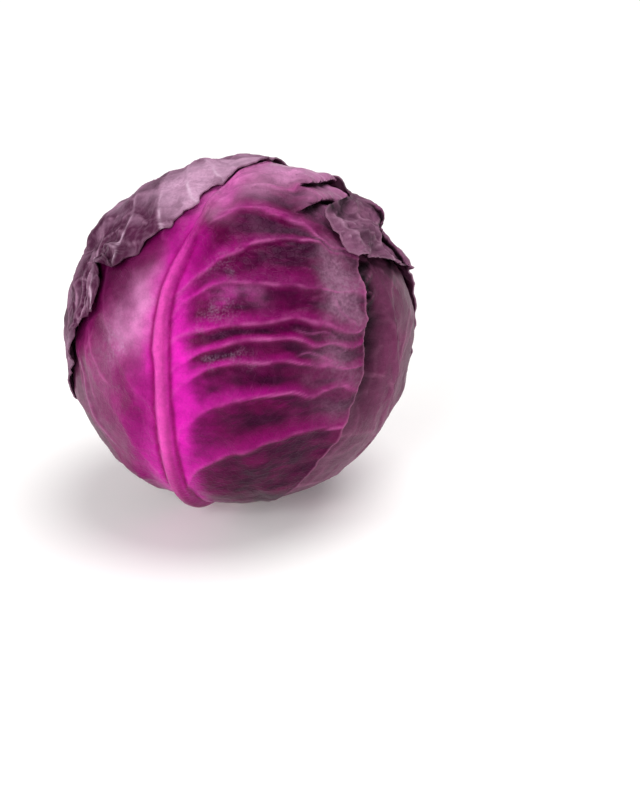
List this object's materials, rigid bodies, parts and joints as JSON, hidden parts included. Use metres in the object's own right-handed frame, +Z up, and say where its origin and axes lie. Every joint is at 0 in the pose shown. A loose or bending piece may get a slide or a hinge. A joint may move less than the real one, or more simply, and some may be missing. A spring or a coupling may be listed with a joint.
{
  "type": "red cabbage head",
  "caption": "Round red cabbage head: a dense inner head wrapped in ribbed, overlapping purple leaves, resting on its flat cut stalk.",
  "frame": {"origin": "centre of the stalk's flat cut face, on the surface that the head rests on", "axes": "+Z up along the stalk's axis; -Y is the front, where the leaf with the thick midrib faces; +X is to the right seen from the front"},
  "size_m": [0.1624, 0.1615, 0.1634],
  "materials": {
    "cut_stalk": "matt cream cut stump with fine fibres and a dry edge",
    "inner_leaves": "smooth firm purple leaves, satin",
    "dusky_leaf": "dark purple leaf with a thin waxy bloom, satin",
    "dark_plum_leaf": "dark plum leaf with pale ribs, satin",
    "plum_leaf": "plum leaf with pale ribs and a waxy bloom, satin",
    "magenta_leaf": "vivid magenta leaf with plum bands between its ribs and patches of waxy bloom, satin",
    "wrinkled_leaf": "wrinkled greyish plum leaf with fine pale veins, satin",
    "waxy_mauve_leaf": "greyish mauve leaf under a waxy bloom, with fine paler veins, matt"
  },
  "bodies": {
    "root": {"stalk": "cut_stalk", "inner_head": "inner_leaves", "back_leaf": "dusky_leaf", "left_leaf": "dark_plum_leaf", "right_leaf": "plum_leaf", "front_leaf": "magenta_leaf", "flap_leaf": "wrinkled_leaf", "cap_leaf": "waxy_mauve_leaf"}
  },
  "joints": []
}
